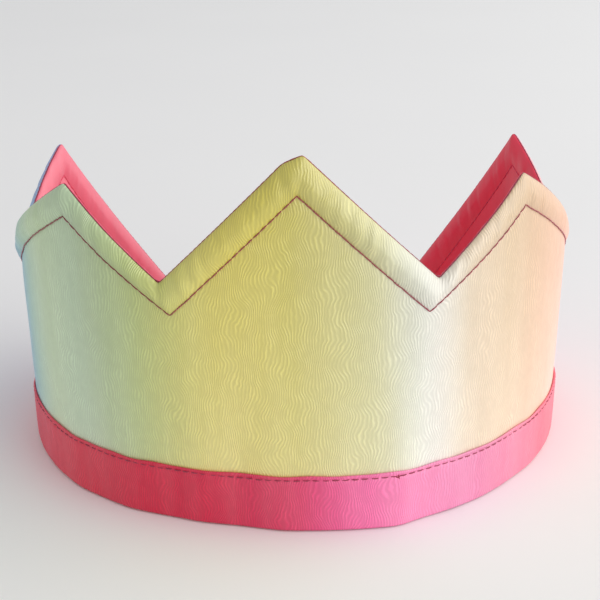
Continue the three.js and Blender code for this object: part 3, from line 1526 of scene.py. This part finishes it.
@dataclass
class GatheredCasing(StrapHalf):
    """The cloth tube round the elastic, gathered into upright folds that cross and run out.

    Its section is a flat oval, whose corners are squarer upwards than outwards. It is thinner and
    lower where its tail is tucked into the panel. The two ripples of a pair are for the outer face
    and the inner one.
    """

    half_height: float = 9.6
    half_depth: float = 1.75
    height_power: float = 0.7
    depth_power: float = 0.55
    section_points: int = 44
    tail_depth: float = 1.05
    tail_lowering: float = 0.1
    tail_width: float = 5.0
    fold_start: float = 3.0
    fold_pitch: float = 3.6
    fold_depth: float = 1.15
    fold_level: float = 0.45
    fold_sharpness: float = 0.75
    fold_drift: float = 2.2
    drift_ripples: Sequence[Ripple] = (Ripple(51, 19.0, slant=0.9), Ripple(61, 19.0, slant=0.9))
    fold_strength: Pair = (0.72, 0.28)
    strength_ripples: Sequence[Ripple] = (Ripple(52, 8.0, slant=0.8), Ripple(62, 8.0, slant=0.8))
    strength_rise: float = 0.6
    side_waver: float = 0.25
    side_ripple: Ripple = Ripple(71, 9.0)
    edge_waver: float = 0.7
    edge_ripple: Ripple = Ripple(72, 4.2)
    cut_gather: float = 1.5

    def _folds(self, along: Array, height: Array, drifting: Ripple, changing: Ripple) -> Array:
        """Draws the folds on one face.

        Args:
            along: Distances along the strap.
            height: Heights on it.
            drifting: How the folds drift along the strap.
            changing: How their strength changes.

        Returns:
            Their height, from 0 in a crease to 1 on a ridge.
        """
        drift = self.fold_drift * drifting.at(along, height)
        sharp = np.abs(np.sin(math.pi * (along + drift) / self.fold_pitch))
        usual, change = self.fold_strength
        strength = usual + change * changing.at(along, height * self.strength_rise)
        return sharp**self.fold_sharpness * strength

    def build(self, wall: Wall, finish: Finish) -> Piece:
        """Builds and dresses one half of the casing.

        Args:
            wall: The wall that the strap carries on.
            finish: The casing's material.

        Returns:
            The half.
        """
        angle = np.linspace(0.0, ROUND, self.section_points, endpoint=False)[:, None]
        along, angle = np.broadcast_arrays(self.stations(wall)[None, :], angle)
        up = np.sign(np.sin(angle)) * np.abs(np.sin(angle)) ** self.height_power
        out = np.sign(np.cos(angle)) * np.abs(np.cos(angle)) ** self.depth_power
        height = self.middle_height + up * self.half_height
        free, course = self.outside(along, self.fold_start), self.course(wall, along)
        ripples = zip(self.drift_ripples, self.strength_ripples)
        outer, inner = (self._folds(course, height, *pair) for pair in ripples)
        folds = self.fold_depth * (np.where(out > 0, outer, inner) - self.fold_level)
        depth = self.tail_depth + free * (self.half_depth - self.tail_depth + folds)
        proud = out * depth + free * self.side_waver * self.side_ripple.at(course)
        waver = self.edge_waver * self.edge_ripple.at(course) * np.abs(up) ** 3 * up
        tucked = 1 - self.tail_lowering * (1 - self.outside(along, self.tail_width))
        height = self.middle_height + up * self.half_height * tucked + free * waver
        reach = np.arange(self.section_points) * (4 * self.half_height / self.section_points)
        name = f"elastic_casing_{self.hand.name.lower()}"
        casing = swept_piece(name, wall, along, height, proud, reach)
        self._unfold(wall, casing)
        self.dress_half(wall, casing, finish, "elastic_casing", "band_cloth")
        cut_length = self.length(wall) * self.cut_gather * MM
        return casing

    def _unfold(self, wall: Wall, casing: Piece) -> None:
        """Stretches the flat measure along the tube, because gathered cloth is longer than it lies.

        Args:
            wall: The wall that the strap carries on.
            casing: The half.
        """
        layer = casing.data.uv_layers["flat"]
        flat = np.zeros(len(layer.data) * 2, np.float32)
        layer.data.foreach_get("uv", flat)
        flat[::2] = self.course(wall, flat[::2] / MM) * self.cut_gather * MM
        layer.data.foreach_set("uv", flat)


@dataclass
class ElasticStrip(StrapHalf):
    """The ribbed elastic inside the casing."""

    half_height: float = 6.2
    half_depth: float = 0.6
    rib_count: int = 9
    rib_depth: float = 0.12
    points_per_rib: int = 8
    edge_rounding: float = 0.9
    edge_power: int = 12
    every: int = 3

    def build(self, wall: Wall, finish: Finish) -> Piece:
        """Builds and dresses one half of the elastic.

        Args:
            wall: The wall that the strap carries on.
            finish: The elastic's material.

        Returns:
            The half.
        """
        rise = np.linspace(-1.0, 1.0, self.points_per_rib * self.rib_count + 1)
        ridges = np.abs(np.cos(math.pi * self.rib_count * rise / 2)) - 1
        ribs = self.half_depth + self.rib_depth * ridges
        rounded = ribs * np.sqrt(1 - self.edge_rounding * np.abs(rise) ** self.edge_power)
        section_up = np.concatenate([rise, rise[::-1]])[:, None]
        section_out = np.concatenate([rounded, -rounded[::-1]])[:, None]
        every_station = self.stations(wall)
        stations = every_station[:: self.every]
        if stations[-1] != every_station[-1]:
            stations = np.append(stations, every_station[-1])
        along, up, out = np.broadcast_arrays(stations[None, :], section_up, section_out)
        height = self.middle_height + up * self.half_height
        reach = np.concatenate([rise, 2 - rise[::-1]]) * self.half_height
        name = f"elastic_{self.hand.name.lower()}"
        strip = swept_piece(name, wall, along, height, out, reach)
        self.dress_half(wall, strip, finish, "elastic", "elastic_webbing")
        self.length(wall) * MM
        return strip


# ---------------------------------------------------------------------------------------------
# Studio
# ---------------------------------------------------------------------------------------------


def direction(azimuth: float, elevation: float) -> Vector:
    """Finds the direction from the crown to something that looks at it.

    Args:
        azimuth: Degrees round from the front, positive towards +X.
        elevation: Degrees above the floor.

    Returns:
        The direction, with length 1.
    """
    turn, tilt = math.radians(azimuth), math.radians(elevation)
    return Vector(
        (math.sin(turn) * math.cos(tilt), -math.cos(turn) * math.cos(tilt), math.sin(tilt))
    )


@dataclass
class Camera:
    """The camera: where it looks, from where, and how long its lens is."""

    azimuth: float = -1.43
    elevation: float = 21.56
    distance: float = 504.0
    aim_across: float = 2.43
    aim_height: float = 43.7
    roll: float = 0.94
    lens: float = 87.03
    film_width: float = 36.0
    nearest: float = 10.0
    farthest: float = 50000.0

    def build(self, middle_y: float) -> Piece:
        """Adds the camera.

        Args:
            middle_y: The place of the plan's centre, in millimetres.

        Returns:
            The camera.
        """
        back, turn = direction(self.azimuth, self.elevation), math.radians(self.azimuth)
        across = Vector((math.cos(turn), math.sin(turn), 0.0))
        aim = Vector((0.0, middle_y, self.aim_height)) + across * self.aim_across
        lens = bpy.data.cameras.new("camera")
        lens.lens, lens.sensor_width = self.lens, self.film_width
        lens.clip_start, lens.clip_end = self.nearest * MM, self.farthest * MM
        camera = bpy.data.objects.new("camera", lens)
        bpy.context.scene.collection.objects.link(camera)
        level = (-back).to_track_quat("-Z", "Y").to_matrix()
        facing = level @ Matrix.Rotation(-math.radians(self.roll), 3, "Z")
        place = Matrix.Translation((aim + back * self.distance) * MM)
        camera.matrix_world = place @ facing.to_4x4()
        bpy.context.scene.camera = camera
        return camera


@dataclass(frozen=True)
class SoftLight:
    """A large soft light that faces the crown. Its sizes are metres, and its power is watts."""

    name: str
    azimuth: float
    elevation: float
    distance: float
    width: float
    height: float
    power: float
    code: int = 0xFFFFFF
    aim_height: float = 0.05

    def build(self) -> Piece:
        """Adds the light.

        Returns:
            The light.
        """
        lamp = bpy.data.lights.new(self.name, "AREA")
        lamp.shape, lamp.size, lamp.size_y = "RECTANGLE", self.width, self.height
        lamp.energy, lamp.color = self.power, tint(self.code)[:3]
        light = bpy.data.objects.new(self.name, lamp)
        bpy.context.scene.collection.objects.link(light)
        back = direction(self.azimuth, self.elevation)
        light.location = back * self.distance + Vector((0.0, 0.0, self.aim_height))
        light.rotation_euler = (-back).to_track_quat("-Z", "Y").to_euler()
        light.visible_camera = False
        return light


@dataclass
class Studio:
    """A pale floor in soft daylight that comes mostly from the crown's +X side.

    The floor's size is metres. It lies floor_gap under the crown, so the two do not flicker.
    """

    lights: Sequence[SoftLight] = (
        SoftLight("window", 80.0, 27.0, 1.7, 4.2, 1.6, 36.5, 0xFFFDFA),
        SoftLight("front_fill", 38.0, 6.0, 1.9, 1.6, 0.6, 4.0),
    )
    sky: int = 0xF1F2F4
    sky_strength: float = 0.64
    floor_size: float = 12.0
    floor_gap: float = 0.2

    def build(self, finish: Finish) -> None:
        """Adds the floor, the lights and the sky, and chooses plain colour handling.

        Args:
            finish: The floor's material.
        """
        half = self.floor_size / 2
        signs = ((-1, -1), (1, -1), (1, 1), (-1, 1))
        corners = np.array([(x * half, y * half, 0.0) for x, y in signs])
        floor = new_piece("floor", corners, [(0, 1, 2, 3)])
        floor.location.z = -self.floor_gap * MM
        floor.data.materials.append(finish)
        for light in self.lights:
            light.build()
        world = bpy.data.worlds.new("sky")
        world.use_nodes = True
        shade = world.node_tree.nodes["Background"]
        shade.inputs["Color"].default_value = tint(self.sky)
        shade.inputs["Strength"].default_value = self.sky_strength
        bpy.context.scene.world = world
        bpy.context.scene.view_settings.view_transform = "Standard"


# ---------------------------------------------------------------------------------------------
# The crown
# ---------------------------------------------------------------------------------------------

# Colour stops, as (along, colour code) from one end of the panel to the other. Some hold painted
# light.
RAINBOW = (
    (-221.0, 0xE9B7DC),
    (-195.0, 0xCDB9EA),
    (-160.0, 0xB2C2EE),
    (-118.0, 0xA4D3DC),
    (-95.0, 0xD7EEC9),
    (-70.0, 0xC8DCB7),
    (-48.0, 0xC7D288),
    (-28.0, 0xE4D97A),
    (0.0, 0xDBD17C),
    (24.0, 0xDCD9AB),
    # This pale cream is partly the satin's own cream between yellow and peach and partly a painted
    # highlight of its sheen.
    (38.0, 0xE6E5D9),
    (52.0, 0xE5D4BB),
    (80.0, 0xE5C6A7),
    (120.0, 0xFBC6B6),
    (165.0, 0xF8B7C2),
    (221.0, 0xF1ADD2),
)

# The band's hot pink with a painted highlight: the pale pinks from about 14 to 100 along paint the
# satin's sheen on its lit side, right of the front.
PINK_WITH_PAINTED_LIGHT = (
    (-221.0, 0xDE3562),
    (-100.0, 0xF03C58),
    (-60.0, 0xDE1D44),
    (-20.0, 0xD91D4D),
    (0.0, 0xE24573),
    (14.0, 0xF2669F),
    (30.0, 0xF988B7),
    (60.0, 0xE98AAF),
    (100.0, 0xF4748A),
    (221.0, 0xDE3562),
)

# The lining's pink with painted light: the lighter pink on the -X back is a painted highlight on
# its lit side, and the deeper crimson on the +X back is painted shade.
LINING_PINK_PAINTED_LIGHT = (
    (-221.0, 0xEC6980),
    (-140.0, 0xEC6980),
    (-70.0, 0xEA486C),
    (70.0, 0xEE305A),
    (140.0, 0xF1284F),
    (221.0, 0xF1284F),
)

# How far under the face of the cloth or the band the middle of a sunken thread lies.
SUNK_IN_CLOTH = 0.14
SUNK_IN_BAND = 0.28

FELT_GREY = 0xE9E6DD
TOP_THREAD = 0x9C2C48
BOBBIN_THREAD = 0xE24468
ELASTIC_WHITE = 0xF2F0EA
FLOOR_WHITE = 0xF4F4F4


def build_panel(wall: Wall, pattern: Pattern) -> list[Piece]:
    """Builds the outer cloth, the lining and the felt between them.

    Args:
        wall: The wall that they are wrapped round.
        pattern: The panel's pattern.

    Returns:
        The three pieces.
    """
    rainbow = EmbossedSatin("rainbow_satin", RAINBOW, upward_darkening=0.003).material()
    pink = PlainSatin("pink_lining_satin", LINING_PINK_PAINTED_LIGHT).material()
    outer = PanelCloth("outer_cloth", "outer_panel", Face.OUTER, pattern, seed=11)
    lining = PanelCloth(
        "lining_cloth", "lining_panel", Face.INNER, pattern, seed=21,
        over_edge=0.06, puff=0.6, groove=0.14,
    )
    made = []
    for cloth, finish, slot in ((outer, rainbow, "outer_cloth"), (lining, pink, "lining_cloth")):
        piece = cloth.build(wall)
        cloth.dress(piece, finish, slot)
        made.append(piece)
    core = FeltCore(pattern)
    felt = core.build(wall)
    core.dress(felt, Felt("stiff_felt", FELT_GREY).material())
    return [*made, felt]


def build_band(wall: Wall, band: HemBand, finish: Finish) -> Piece:
    """Builds the band along the lower edge.

    Args:
        wall: The wall that it is folded round.
        band: The band's sizes.
        finish: Its material.

    Returns:
        The band.
    """
    piece = band.build(wall)
    band.dress(piece, finish)
    return piece


def build_stitching(wall: Wall, pattern: Pattern, band: HemBand) -> list[Piece]:
    """Builds every row of stitches, outside and inside, and the thread in the seam.

    Args:
        wall: The wall that they lie on.
        pattern: The panel's pattern.
        band: The band.

    Returns:
        The rows.
    """
    top_thread = Thread("raspberry_thread", TOP_THREAD).material()
    bobbin_thread = Thread("crimson_thread", BOBBIN_THREAD).material()
    in_cloth, in_band = wall.half_thickness - SUNK_IN_CLOTH, band.outer_proud - SUNK_IN_BAND
    on_points, on_band = stitches_on_points(pattern), stitches_on_band(band)
    rows = []
    for face, thread in ((Face.OUTER, top_thread), (Face.INNER, bobbin_thread)):
        side = face.name.lower()
        names = f"point_stitches_{side}", f"point_topstitch_{side}"
        rows.append((StitchRow(*names, face, seed=81, surface=in_cloth), on_points, thread))
        names = f"band_stitches_{side}", f"band_stitch_{side}"
        hem = StitchRow(*names, face, seed=82, surface=in_band, fill=0.82, dip=0.25)
        rows.append((hem, on_band, thread))
        for hand in Hand:
            node = f"strap_tack_{hand.name.lower()}_{side}"
            tack = StitchRow(f"{node}_stitches", node, face, seed=83, surface=band.outer_proud)
            rows.append((tack, bar_tack(hand), thread))
    seam = StitchRow(
        "seam_stitches", "", Face.OUTER, seed=84, surface=0.0,
        radius=0.19, fill=1.0, lift=0.05, dip=0.06, waver=0.04,
    )
    rows.append((seam, stitches_on_seam(pattern), top_thread))
    made = []
    for row, holes, thread in rows:
        piece = row.build(wall, *holes)
        row.dress(piece, thread)
        made.append(piece)
    return made


def build_strap(wall: Wall, satin: Finish) -> list[Piece]:
    """Builds both halves of the casing and of the elastic inside it.

    Args:
        wall: The wall that the strap carries on.
        satin: The casing's material.

    Returns:
        The four pieces.
    """
    web = ElasticWeb("woven_elastic", ELASTIC_WHITE).material()
    made = []
    for hand in Hand:
        made.append(GatheredCasing(hand).build(wall, satin))
        made.append(ElasticStrip(hand).build(wall, web))
    return made


def main() -> None:
    """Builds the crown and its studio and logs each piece."""
    logging.basicConfig(level=logging.INFO, format="%(name)s: %(message)s")
    wall, pattern, band = Wall(), Pattern(), HemBand()
    Camera().build(wall.middle_y)
    Studio().build(PaleFloor("pale_floor", FLOOR_WHITE).material())
    pink = EmbossedSatin("pink_band_satin", PINK_WITH_PAINTED_LIGHT, ior=1.45).material()
    pieces = build_panel(wall, pattern)
    pieces.append(build_band(wall, band, pink))
    pieces += build_stitching(wall, pattern, band)
    pieces += build_strap(wall, pink)
    for piece in pieces:
        log.info("%s has %d faces", piece.name, len(piece.data.polygons))


if __name__ == "__main__":
    main()
